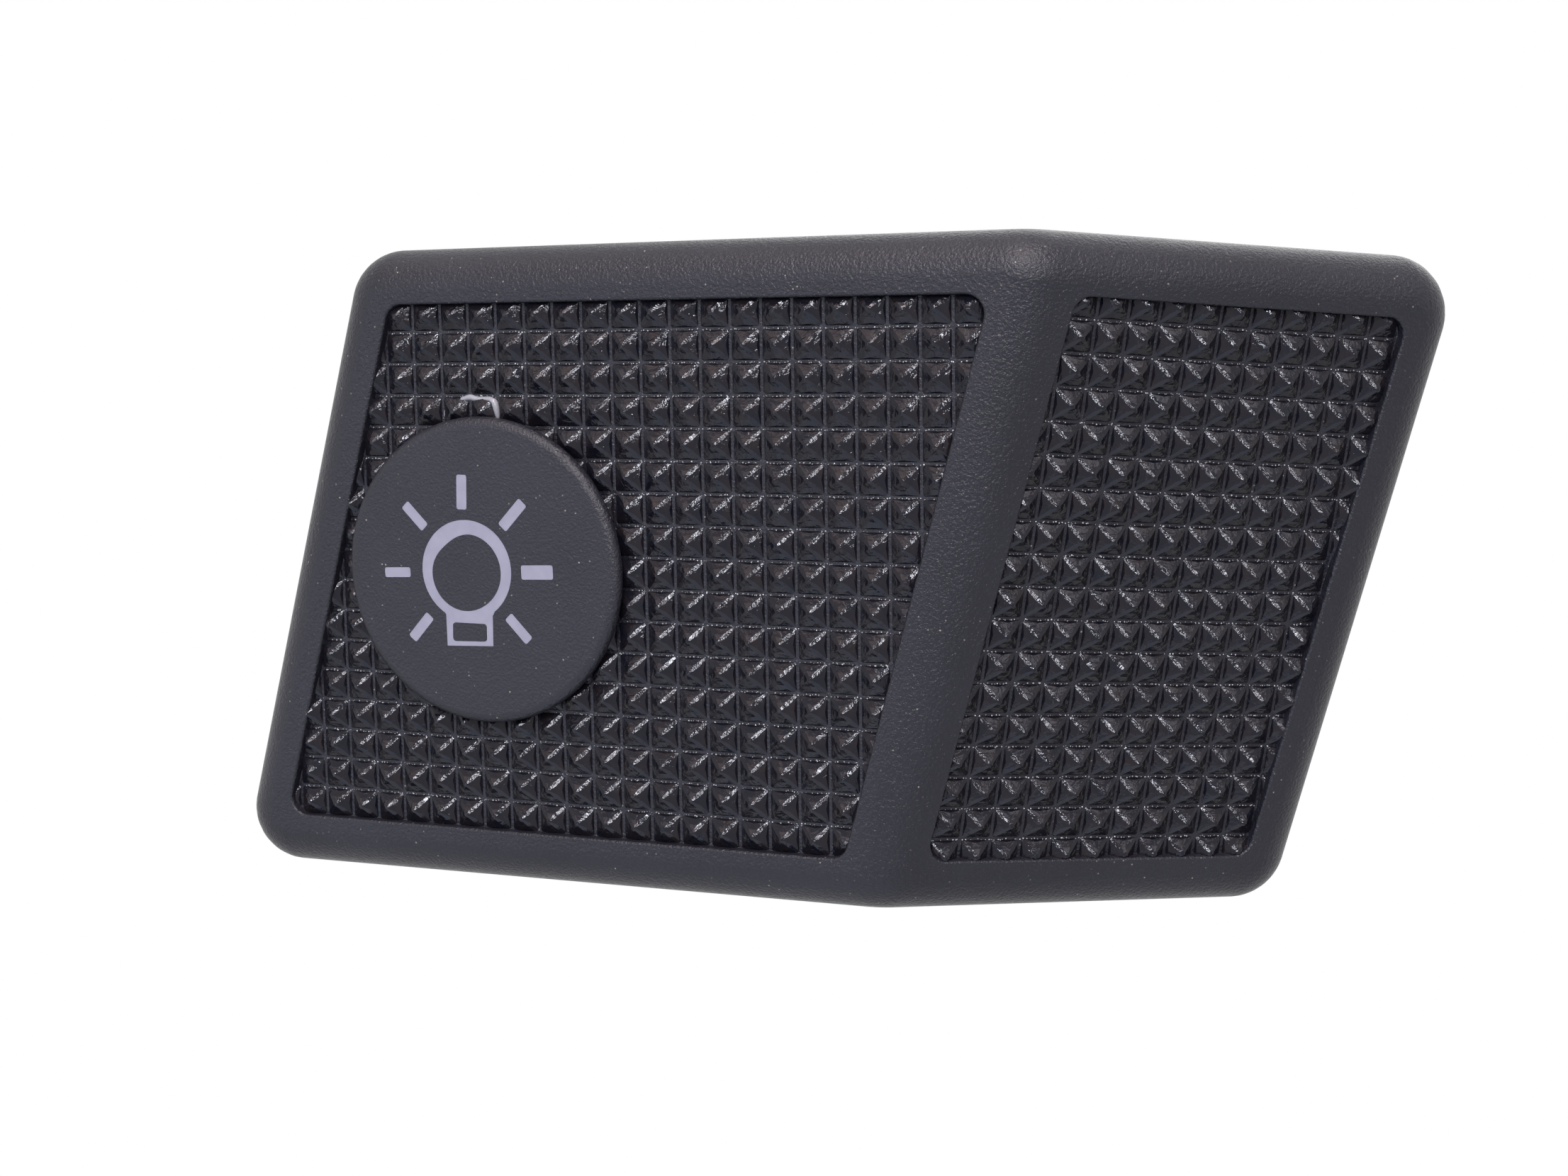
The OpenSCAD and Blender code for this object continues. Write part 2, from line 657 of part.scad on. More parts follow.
// Lamp: glass with a wedge foot, held by a twist-in holder from behind
holder_front = base_front - 0.7;
wedge = [3.8, 1.6];
wedge_len = 3.4;
glass_tip = 13.5;

module lamp_bulb() color(clear) translate([-lamp_x, 0, 0]) {
    translate([0, holder_front, 0]) rotate([90, 0, 0]) {
        cylinder(r = lamp_r, h = holder_front - glass_tip - lamp_r);
        translate([0, 0, holder_front - glass_tip - lamp_r]) sphere(lamp_r);
    }
    along_y(holder_front - weld, holder_front + wedge_len) square(wedge, center = true);
}

module lamp_holder() color(dark_grey) translate([-lamp_x, 0, 0])
    difference() {
        union() {
            along_y(holder_front, body_len + weld) circle(holder_r);
            along_y(body_len, body_len + 1.2) circle(holder_r + 1);
            along_y(body_len + 1.2 - weld, body_len + 3.6) rounded(7, 2.2, 0.6);
        }
        along_y(holder_front - through, holder_front + wedge_len)
            square([wedge[0] + 0.1, wedge[1] + 0.1], center = true);
    }

module light_guide() color(clear) translate([-lamp_x, 0, 0]) {
    along_y(-1, glass_tip - 2) circle(guide_r);
    along_y(guide_collar[0] - 0.8, guide_collar[0]) circle(guide_r + 0.6);
}

// Spring clip in the side of the housing: a flat foot on two stakes and a bent leaf
module clip(side) color(steel) {
    x = body_w / 2 - clip_pocket;
    bulge = body_w / 2 + 1.7;
    difference() {
        scale_x(side) along_z(-clip_h / 2, clip_h / 2)
            polygon([[x, clip_foot[1]], [x, clip_foot[0]], [bulge, 4.1], [body_w / 2 + 0.15, 2.25],
                [body_w / 2 + 0.55, 1.95 + 0.25], [bulge + clip_t, 4], [x + clip_t, clip_foot[0] + 0.2],
                [x + clip_t, clip_foot[1]]]);
        for (y = stake_y)
            translate([side * x, y, 0]) rotate([0, 90, 0])
                cylinder(r = stake_r + slide_fit, h = 2 * clip_t + 2 * through, center = true);
    }
}
module scale_x(side) mirror([side < 0 ? 1 : 0, 0, 0]) children();
module clip_left() clip(-1);
module clip_right() clip(1);

key_cap();
symbol_disc();
symbol_lens();
rocker_carrier();
pivot_pin();
detent_plunger_upper();
detent_plunger_lower();
detent_spring_upper();
detent_spring_lower();
housing();
contact_slider();
side_light_bridge();
head_light_bridge();
terminal_supply();
terminal_side_light();
terminal_head_light();
terminal_lamp();
terminal_ground();
terminal_base();
lamp_holder();
lamp_bulb();
light_guide();
clip_left();
clip_right();
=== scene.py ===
"""Dashboard headlight switch: the knurled rocker key, its symbol disc, and the switch behind them."""

import json
import math

import bmesh
import bpy
from mathutils import Matrix, Vector


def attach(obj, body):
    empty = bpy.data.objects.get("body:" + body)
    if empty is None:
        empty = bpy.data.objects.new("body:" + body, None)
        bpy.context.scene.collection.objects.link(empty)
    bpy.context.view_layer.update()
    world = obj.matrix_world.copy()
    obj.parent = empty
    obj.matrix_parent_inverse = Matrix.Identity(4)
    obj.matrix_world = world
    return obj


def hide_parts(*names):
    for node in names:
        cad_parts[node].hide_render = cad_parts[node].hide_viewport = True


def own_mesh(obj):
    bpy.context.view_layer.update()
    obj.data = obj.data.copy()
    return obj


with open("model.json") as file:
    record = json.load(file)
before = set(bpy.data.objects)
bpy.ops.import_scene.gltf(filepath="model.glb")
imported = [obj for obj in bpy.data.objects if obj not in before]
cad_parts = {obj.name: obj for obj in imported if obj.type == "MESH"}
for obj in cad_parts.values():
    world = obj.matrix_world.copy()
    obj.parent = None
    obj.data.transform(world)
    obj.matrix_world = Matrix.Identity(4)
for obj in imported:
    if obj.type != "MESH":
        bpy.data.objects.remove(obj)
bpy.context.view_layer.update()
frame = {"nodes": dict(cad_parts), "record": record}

MM = 0.001

# Sizes of the key in millimetres, as the part's source has them. The rounding of the disc's edge and of the
# fields' lip and foot is finer here
KEY_H = 30.4
LEFT_LEN, RIGHT_LEN = 34.05, 20.85
FACE_TURN, RIDGE_SLANT, RIDGE_RAKE = (math.radians(a) for a in (20.3, 11.8, 11.6))
END_SLANT, WALL_RISE = (math.radians(a) for a in (12.5, 0.3))
RIDGE_MID = Vector((6.2, -23.5, 0))
EDGE_R, CORNER_EXTRA, RIDGE_R = 2.1, 0.6, 3.6
KEY_WALL, KEY_DRAFT, RIM_Y = 2.0, 0.35, -4.881
PITCH, VALLEY, FIELD_DEPTH = 1.5, 0.14, 0.5
TIP, TIP_DROP = 0.12, 0.03
STRIP_LEFT, STRIP_RIGHT = 1.85, 2.2
BORDER_TOP, BORDER_BOTTOM, BORDER_LEFT, BORDER_RIGHT = 3.0, 2.35, 2.4, 2.2
FIELD_CORNER, FIELD_LIP, FIELD_FOOT = 0.85, 0.14, 0.07
PATTERN_DROP = 0.28
DISC_R, DISC_U, DISC_PROUD, SKIRT_R = 7.3, 23.3, 0.6, 6.4
DISC_EDGE, EDGE_SHARE, COVER_T, SKIRT_END, SKIRT_T = 0.5, 0.9, 0.5, -2.9, 0.9
BEAD, BEAD_RISE, FACE_RINGS = 0.25, 0.4, (5.2, 2)
BACK_BREAK = ((0.05, 0), (0.01, 0.02))  # the cover's broken back edge: in from its radius, and up
CUT_PAST, FILL_ROOT, FILL_DROP = 0.5, 0.3, 0.01
POSTS = ((-5.5, -15), (13, -17))  # x of each pair of posts, and the y inside the wall where they start
POST_Z, POST_R, PEG_R, HEAD_R, HEAD_T = 6.8, 2.2, 1.1, 1.8, 0.7
SADDLE_FRONT, SADDLE_T = -9, 2
PLAY = 0.05

# Sizes of the detent springs, which lie along Y in the carrier's sleeves
SPRING_R, SPRING_WIRE, SPRING_TURNS = 1.1, 0.28, 5
SPRING_START, SPRING_END, SPRING_Z, PLUNGER_STROKE = 6.3, 10.3, 6.5, 1.2

# How fine the meshes are
CORNER_STEPS, LIP_STEPS, EDGE_STEPS, FIELD_CORNER_STEPS = 6, 4, 8, 9
PICTOGRAM_SIDES, TONGUE_SIDES, SPRING_STEPS, WIRE_SIDES = 96, 12, 24, 10
MERGED, FLAT = 0.001, math.radians(0.3)
CLEAR = 6  # how far a cutter reaches out of the key's face

LEFT, RIGHT = -1, 1


# The key's faces: unit vectors along, up and out of each face, as the source has them
RIDGE_UP = Vector((math.tan(RIDGE_SLANT), -math.tan(RIDGE_RAKE), 1)).normalized()


def along(side):
    return Vector((math.cos(FACE_TURN), side * math.sin(FACE_TURN), 0))


def up_face(side):
    return (RIDGE_UP - RIDGE_UP.dot(along(side)) * along(side)).normalized()


def out_of(side):
    return along(side).cross(up_face(side))


def lean(side):
    """How far the ridge runs along the face for each step up it."""
    return RIDGE_UP.dot(along(side)) / RIDGE_UP.dot(up_face(side))


def face_matrix(side):
    rows = [[along(side)[i], up_face(side)[i], out_of(side)[i], RIDGE_MID[i]] for i in range(3)]
    return Matrix([*rows, [0, 0, 0, 1]])


def plane(normal, point):
    """The plane through a point, as its unit normal and its distance from the origin."""
    return normal, normal.dot(point)


def inset(wall, depth):
    return wall[0], wall[1] - depth


def meet(a, b, c):
    """The point where three planes meet."""
    rows = Matrix([a[0], b[0], c[0]])
    return rows.inverted() @ Vector((a[1], b[1], c[1]))


END_NORMAL = Vector((math.cos(END_SLANT), 0, -math.sin(END_SLANT)))
UP_WALL = Vector((-math.sin(WALL_RISE), 0, math.cos(WALL_RISE)))
FACES = {side: plane(out_of(side), RIDGE_MID) for side in (LEFT, RIGHT)}
ENDS = {
    LEFT: plane(-END_NORMAL, RIDGE_MID - LEFT_LEN * along(LEFT)),
    RIGHT: plane(END_NORMAL, RIDGE_MID + RIGHT_LEN * along(RIGHT)),
}
CAPS = {cap: plane(cap * UP_WALL, RIDGE_MID + Vector((0, 0, cap * KEY_H / 2))) for cap in (-1, 1)}
RIDGE_FRONT = (out_of(LEFT) + out_of(RIGHT)).normalized()
RIDGE_SIDE = (out_of(RIGHT) - out_of(LEFT)).normalized()
RIDGE_HALF = math.acos(out_of(LEFT).dot(out_of(RIGHT))) / 2


def ridge_point(t, cap, depth, r, ridge_radius):
    """The middle of the edge's ball at one end of the ridge, with t from -1 to 1 across the ridge's curve."""
    axis_at = meet(
        inset(FACES[LEFT], depth + ridge_radius), inset(FACES[RIGHT], depth + ridge_radius),
        inset(CAPS[cap], depth + r),
    )
    around = math.cos(t * RIDGE_HALF) * RIDGE_FRONT + math.sin(t * RIDGE_HALF) * RIDGE_SIDE
    p = axis_at + (ridge_radius - r) * around
    return p + RIDGE_UP * ((axis_at - p).dot(UP_WALL) / RIDGE_UP.dot(UP_WALL))


def ball(centre, r, turns):
    """Points on a sphere, poles included."""
    points = [centre + Vector((0, 0, r)), centre - Vector((0, 0, r))]
    for i in range(1, turns // 2):
        polar = 2 * math.pi * i / turns
        for j in range(turns):
            a = 2 * math.pi * j / turns
            way = Vector((math.sin(polar) * math.cos(a), math.sin(polar) * math.sin(a), math.cos(polar)))
            points.append(centre + r * way)
    return points


def key_form(name, depth, r, ridge_radius, draft, back, turns, ridge_steps):
    """The key's convex outer form, or its cavity when it is set in by the wall."""
    points = []
    for side in (LEFT, RIGHT):
        for cap in (-1, 1):
            deep = depth + r + CORNER_EXTRA
            middle = meet(inset(FACES[side], depth + r), inset(ENDS[side], deep), inset(CAPS[cap], deep))
            rim = meet(
                plane(Vector((0, 1, 0)), Vector((0, back, 0))), inset(ENDS[side], deep - draft),
                inset(CAPS[cap], deep - draft),
            )
            for k in range(CORNER_STEPS + 1):
                out = CORNER_EXTRA * ENDS[side][0].lerp(CAPS[cap][0], k / CORNER_STEPS).normalized()
                face = FACES[side][0]
                points += ball(middle + out - Vector((0, out.dot(face) / face.y, 0)), r, turns)
                for j in range(turns):
                    a = 2 * math.pi * j / turns
                    points.append(rim + out + r * Vector((math.cos(a), 0, math.sin(a))))
    for cap in (-1, 1):
        for k in range(ridge_steps + 1):
            points += ball(ridge_point(2 * k / ridge_steps - 1, cap, depth, r, ridge_radius), r, turns)
    bm = bmesh.new()
    verts = [bm.verts.new(p) for p in points]
    hull = bmesh.ops.convex_hull(bm, input=verts)
    unused = [g for g in hull["geom_interior"] + hull["geom_unused"] if isinstance(g, bmesh.types.BMVert)]
    bmesh.ops.delete(bm, geom=list(set(unused)), context="VERTS")
    bmesh.ops.remove_doubles(bm, verts=bm.verts, dist=MERGED)
    bmesh.ops.dissolve_limit(bm, angle_limit=FLAT, verts=bm.verts, edges=bm.edges)
    bmesh.ops.recalc_face_normals(bm, faces=bm.faces)
    return mesh_object(name, bm)


def mesh_object(name, bm):
    mesh = bpy.data.meshes.new(name)
    bm.to_mesh(mesh)
    bm.free()
    obj = bpy.data.objects.new(name, mesh)
    bpy.context.scene.collection.objects.link(obj)
    return obj


def rounded_outline(corners, radius, steps):
    """A convex polygon's outline with each corner rounded. The corners go round anticlockwise."""
    outline = []
    for i, corner in enumerate(corners):
        to_last = (corners[i - 1] - corner).normalized()
        to_next = (corners[(i + 1) % len(corners)] - corner).normalized()
        half = to_last.angle(to_next) / 2
        centre = corner + (to_last + to_next).normalized() * (radius / math.sin(half))
        start = corner + to_last * (radius / math.tan(half)) - centre
        sweep = math.pi - 2 * half
        for k in range(steps + 1):
            c, s = math.cos(sweep * k / steps), math.sin(sweep * k / steps)
            outline.append(centre + Vector((start.x * c - start.y * s, start.x * s + start.y * c)))
    return outline


def end_lean(side):
    """How far the end wall runs along the face for each step up it."""
    return -END_NORMAL.dot(up_face(side)) / END_NORMAL.dot(along(side))


def field_corners(side, grow=0.0):
    top = (KEY_H / 2 - BORDER_TOP) / up_face(side)[2] + grow
    bottom = -(KEY_H / 2 - BORDER_BOTTOM) / up_face(side)[2] - grow
    slope = math.hypot(1, end_lean(side))
    near = (-STRIP_LEFT if side == LEFT else STRIP_RIGHT) - side * grow * slope
    far = (-(LEFT_LEN - BORDER_LEFT) if side == LEFT else RIGHT_LEN - BORDER_RIGHT) + side * grow * slope
    low, high = sorted((near, far))
    upright = ((low, bottom), (high, bottom), (high, top), (low, top))
    return [Vector((u + w * end_lean(side), w)) for u, w in upright]


def field_outline(side, grow=0.0):
    return rounded_outline(field_corners(side, grow), FIELD_CORNER + grow, FIELD_CORNER_STEPS)


def loft(rings, name, matrix):
    """A closed solid through rings of points of equal count."""
    bm = bmesh.new()
    loops = [[bm.verts.new(p) for p in ring] for ring in rings]
    count = len(loops[0])
    for lower, upper in zip(loops, loops[1:]):
        for i in range(count):
            j = (i + 1) % count
            bm.faces.new((lower[i], lower[j], upper[j], upper[i]))
    bm.faces.new(list(reversed(loops[0])))
    bm.faces.new(loops[-1])
    bmesh.ops.transform(bm, matrix=matrix, verts=bm.verts)
    bmesh.ops.recalc_face_normals(bm, faces=bm.faces)
    return mesh_object(name, bm)


def field_cutter(side):
    """The recess of one field: a small fillet at its foot and a rolled lip at the smooth face."""
    levels = [
        (-FIELD_FOOT, -FIELD_DEPTH), (-FIELD_FOOT * 0.3, -FIELD_DEPTH + FIELD_FOOT * 0.3),
        (0, -FIELD_DEPTH + FIELD_FOOT),
    ]
    for k in range(LIP_STEPS + 1):
        a = math.pi / 2 * k / LIP_STEPS
        levels.append((FIELD_LIP * (1 - math.cos(a)), FIELD_LIP * (math.sin(a) - 1)))
    levels.append((FIELD_LIP, CLEAR))
    rings = [[(*p, w) for p in field_outline(side, grow)] for grow, w in levels]
    return loft(rings, "field_cutter", face_matrix(side))


def circle(r, count):
    angles = [2 * math.pi * i / count for i in range(count)]
    return [(r * math.cos(a), r * math.sin(a)) for a in angles]


def rod(name, centre, r, start, end, matrix, count=48):
    rings = [[(centre[0] + x, centre[1] + y, w) for x, y in circle(r, count)] for w in (start, end)]
    return loft(rings, name, matrix)


def pattern_mid(side):
    """The middle of the pyramids' pattern, on the ridge's line and a little below its middle."""
    w = -PATTERN_DROP / up_face(side)[2]
    return Vector((w * lean(side), w))


def combine(obj, others, operation, solver="EXACT"):
    for other in others:
        mod = obj.modifiers.new(other.name, "BOOLEAN")
        mod.operation = operation
        mod.object = other
        mod.solver = solver


def finished(obj, name, sharp=30, weighted=True):
    """The object's final mesh, its modifiers applied, in metres and with smooth shading."""
    bpy.context.view_layer.update()
    depsgraph = bpy.context.evaluated_depsgraph_get()
    mesh = bpy.data.meshes.new_from_object(obj.evaluated_get(depsgraph))
    mesh.name = name
    mesh.transform(Matrix.Scale(MM, 4))
    done = bpy.data.objects.new(name, mesh)
    bpy.context.scene.collection.objects.link(done)
    bpy.data.objects.remove(obj)
    mesh.materials.clear()
    mesh.polygons.foreach_set("material_index", [0] * len(mesh.polygons))
    mesh.polygons.foreach_set("use_smooth", [True] * len(mesh.polygons))
    mesh.set_sharp_from_angle(angle=math.radians(sharp))
    if weighted:
        mod = done.modifiers.new("even_normals", "WEIGHTED_NORMAL")
        mod.keep_sharp = True
    return done


def discard(objects):
    for obj in objects:
        bpy.data.objects.remove(obj)


def build_key_shell():
    outer = key_form("key_outer", 0, EDGE_R, RIDGE_R, KEY_DRAFT, RIM_Y, 64, 12)
    cavity = key_form("key_cavity", KEY_WALL, EDGE_R - 1, RIDGE_R - KEY_WALL, KEY_DRAFT, RIM_Y + 1, 32, 6)
    through = -KEY_WALL - FIELD_DEPTH
    cutters = [
        field_cutter(LEFT), field_cutter(RIGHT), cavity,
        rod("disc_hole", disc_middle(), SKIRT_R + PLAY, through, CLEAR, face_matrix(LEFT), 64),
    ]
    combine(outer, cutters, "DIFFERENCE")
    fixings = []
    back = Matrix.Rotation(-math.pi / 2, 4, "X")
    head_at = SADDLE_FRONT + SADDLE_T
    for x, root in POSTS:
        for z in (-POST_Z, POST_Z):
            fixings += [
                rod("post", (x, -z), POST_R, root, SADDLE_FRONT, back, 32),
                rod("peg", (x, -z), PEG_R, SADDLE_FRONT - 1, head_at, back, 24),
                rod("head", (x, -z), HEAD_R, head_at, head_at + HEAD_T, back, 24),
            ]
    combine(outer, fixings, "UNION")
    shell = finished(outer, "key_shell")
    discard(cutters + fixings)
    return shell


def disc_middle():
    return pattern_mid(LEFT) - Vector((DISC_U, 0))


def disc_matrix():
    return face_matrix(LEFT) @ Matrix.Translation((*disc_middle(), 0))


def lathe(name, profile, matrix, count=128):
    """A solid of revolution: rings of (radius, height), from the inner end to the face."""
    return loft([[(x, y, h) for x, y in circle(r, count)] for r, h in profile], name, matrix)


def prism(name, outline, low, high, matrix):
    return loft([[(p[0], p[1], h) for p in outline] for h in (low, high)], name, matrix)


# The bulb pictogram as it is cut in the disc. The worn hole has two dents: depth, bearing, sharpness
BULB_MID, BULB_R = Vector((-0.72, 0.03)), 2.41
HOLE_MID, HOLE_R = Vector((-0.73, -0.08)), 1.86
HOLE_DENTS = ((0.17, 128, 6), (0.05, 300, 4))
BASE_OUTER = [(-1.9, -3.62), (0.6, -3.55), (0.62, -2.1), (0.9, -1.6), (-2.3, -1.6), (-1.92, -2.1)]
BASE_HOLE_CORNER, RAY_CORNER = 0.16, 0.1
BASE_HOLE = [(-1.58, -3.38), (0.27, -3.34), (0.28, -2.5), (-1.56, -2.48)]
RAYS = [  # inner end, outer end and width, the left ray the shortest
    ((-0.87, 2.93), (-0.82, 4.58), 0.54), ((-3.8, -0.14), (-5.22, -0.18), 0.48),
    ((2.22, 0.02), (3.9, 0.07), 0.68), ((-2.91, 2.02), (-3.98, 3.12), 0.5),
    ((1.27, 2.11), (2.42, 3.33), 0.56), ((-2.79, -2.2), (-3.83, -3.35), 0.52),
    ((1.45, -2.09), (2.54, -3.23), 0.5),
]


def round_outline(middle, radius_at):
    angles = [2 * math.pi * i / PICTOGRAM_SIDES for i in range(PICTOGRAM_SIDES)]
    return [middle + radius_at(a) * Vector((math.cos(a), math.sin(a))) for a in angles]


def hole_radius(a):
    radius = HOLE_R
    for depth, bearing, sharpness in HOLE_DENTS:
        radius -= depth * max(0, math.cos(a - math.radians(bearing))) ** sharpness
    return radius


def pictogram(name, low, high, matrix):
    ring = prism(name, round_outline(BULB_MID, lambda a: BULB_R), low, high, matrix)
    base = prism("base", [Vector(p) for p in BASE_OUTER], low, high, matrix)
    base_hole = rounded_outline([Vector(p) for p in BASE_HOLE], BASE_HOLE_CORNER, 5)
    holes = [
        prism("hole", outline, low - 1, high + 1, matrix)
        for outline in (round_outline(HOLE_MID, hole_radius), base_hole)
    ]
    combine(ring, [base], "UNION", "MANIFOLD")
    combine(ring, holes, "DIFFERENCE", "MANIFOLD")
    rays = []
    for start, end, width in RAYS:
        start, end = Vector(start), Vector(end)
        along_ray = (end - start).normalized()
        across = Vector((-along_ray.y, along_ray.x)) * width / 2
        corners = [start - across, end - across, end + across, start + across]
        rays.append(prism("ray", rounded_outline(corners, RAY_CORNER, 4), low, high, matrix))
    combine(ring, rays, "UNION", "MANIFOLD")
    return ring, [base, *holes, *rays]


def build_disc_cover():
    """The snap-in disc: a rounded cover over a hollow skirt with its bead, the pictogram cut through."""
    back = DISC_PROUD - COVER_T
    profile = [
        (SKIRT_R, SKIRT_END), (SKIRT_R + BEAD, SKIRT_END + BEAD_RISE), (SKIRT_R, SKIRT_END + 2 * BEAD_RISE),
        (SKIRT_R, back), *((DISC_R - step_in, back + up) for step_in, up in BACK_BREAK),
    ]
    for k in range(EDGE_STEPS + 1):
        a = math.pi / 2 * k / EDGE_STEPS
        out = DISC_R - DISC_EDGE + DISC_EDGE * math.cos(a)
        profile.append((out, DISC_PROUD - DISC_EDGE * EDGE_SHARE * (1 - math.sin(a))))
    profile += [(r, DISC_PROUD) for r in FACE_RINGS]
    cover = lathe("disc_cover", profile, disc_matrix())
    hollow = rod("hollow", (0, 0), SKIRT_R - SKIRT_T, SKIRT_END - 1, back, disc_matrix(), 64)
    symbol, parts = pictogram("symbol_cut", back - CUT_PAST, DISC_PROUD + CUT_PAST, disc_matrix())
    combine(cover, [hollow, symbol], "DIFFERENCE", "MANIFOLD")
    done = finished(cover, "disc_cover")
    discard([hollow, symbol, *parts])
    return done


def build_disc_insert():
    """The light-coloured insert that fills the pictogram, on its round body behind the cover."""
    back = DISC_PROUD - COVER_T
    body = rod("insert_body", (0, 0), SKIRT_R - SKIRT_T - PLAY, SKIRT_END + 1, back, disc_matrix(), 64)
    symbol, parts = pictogram("symbol_fill", back - FILL_ROOT, DISC_PROUD - FILL_DROP, disc_matrix())
    combine(body, [symbol], "UNION", "MANIFOLD")
    done = finished(body, "disc_insert")
    discard([symbol, *parts])
    return done


# The clear tongue's rim lies in the valleys above the disc: place from the disc's middle, half width, height
TONGUE_RIM = [
    (-2.25, 7.2, 0.06, 0.05), (-2.18, 7.75, 0.09, 0.07), (-1.75, 7.93, 0.1, 0.09), (-1.2, 8.06, 0.12, 0.12),
    (-0.82, 8.2, 0.17, 0.16), (-0.55, 8.08, 0.15, 0.14), (-0.15, 8.07, 0.12, 0.13), (0.25, 8.1, 0.14, 0.16),
    (0.5, 7.98, 0.2, 0.2), (0.57, 7.66, 0.18, 0.2), (0.62, 7.35, 0.14, 0.14), (0.66, 7.1, 0.08, 0.08),
]


def build_disc_tongue():
    """A thin bead of clear plastic that has run into the valleys round the tongue's edge. The bead is real;
    its pale grey, mostly diffuse, is a painted highlight for the white light that the clear edge throws back.
    """
    points = [Vector(p[:2]) for p in TONGUE_RIM]
    rings = []
    for i, (_, _, half, height) in enumerate(TONGUE_RIM):
        run = (points[min(i + 1, len(points) - 1)] - points[max(i - 1, 0)]).normalized()
        across = Vector((-run.y, run.x))
        ring = []
        for k in range(TONGUE_SIDES):
            a = 2 * math.pi * k / TONGUE_SIDES
            place = points[i] + across * half * math.cos(a)
            ring.append((place.x, place.y, height * math.sin(a) - FIELD_DEPTH))
        rings.append(ring)
    bead = loft(rings, "disc_tongue", disc_matrix())
    smooth = bead.modifiers.new("smooth", "SUBSURF")
    smooth.levels = 2
    return finished(bead, "disc_tongue", sharp=80, weighted=False)


def pyramid_mesh():
    """One moulded pyramid of a few dozen faces: a steep foot, chamfered edges and a blunt tip."""
    half = (PITCH - VALLEY) / 2
    height = FIELD_DEPTH - TIP_DROP
    levels = [  # at the corners: reach and height, cut of the corner; at mid side: reach and height
        (half + 0.02, -0.03, 0.05, half + 0.02, -0.03),
        (half - 0.02, 0.03, 0.095, half - 0.085, 0.135),
        (half * 0.52, height * 0.55, 0.145, half * 0.5, height * 0.57),
        (TIP * 1.15, height * 0.93, 0.085, TIP * 1.15, height * 0.93),
        (TIP * 0.6, height, 0.04, TIP * 0.6, height),
    ]
    bm = bmesh.new()
    loops = []
    for reach, z, cut, mid_reach, mid_z in levels:
        ring = []
        for k in range(4):
            turn = Matrix.Rotation(k * math.pi / 2, 2)
            for x, y, at in [(reach, -reach + cut, z), (mid_reach, 0, mid_z), (reach, reach - cut, z)]:
                ring.append(bm.verts.new((*(turn @ Vector((x, y))), at)))
        loops.append(ring)
    for lower, upper in zip(loops, loops[1:]):
        for i in range(12):
            j = (i + 1) % 12
            bm.faces.new((lower[i], lower[j], upper[j], upper[i]))
    bm.faces.new(loops[-1])
    bmesh.ops.recalc_face_normals(bm, faces=bm.faces)
    return mesh_object("pyramid", bm)


def add_node(tree, kind, inputs=None, **settings):
    """A new node. An input that is given as a socket is linked, and any other is set."""
    node = tree.nodes.new(kind)
    for setting, value in settings.items():
        setattr(node, setting, value)
    for socket, value in (inputs or {}).items():
        if isinstance(value, bpy.types.NodeSocket):
            tree.links.new(value, node.inputs[socket])
        else:
            node.inputs[socket].default_value = value
    return node


def begin_tree(name, inputs):
    """A Geometry Nodes tree with named inputs, and the sockets that give them inside it."""
    tree = bpy.data.node_groups.new(name, "GeometryNodeTree")
    tree.interface.new_socket("Geometry", in_out="OUTPUT", socket_type="NodeSocketGeometry")
    for socket, kind in [("Geometry", "Geometry"), *inputs, ("Material", "Material")]:
        tree.interface.new_socket(socket, in_out="INPUT", socket_type=f"NodeSocket{kind}")
    return tree, tree.nodes.new("NodeGroupInput").outputs


def end_tree(tree, given, geometry):
    painted = add_node(tree, "GeometryNodeSetMaterial", {"Geometry": geometry, "Material": given["Material"]})
    add_node(tree, "NodeGroupOutput", {"Geometry": painted.outputs["Geometry"]})
    return tree


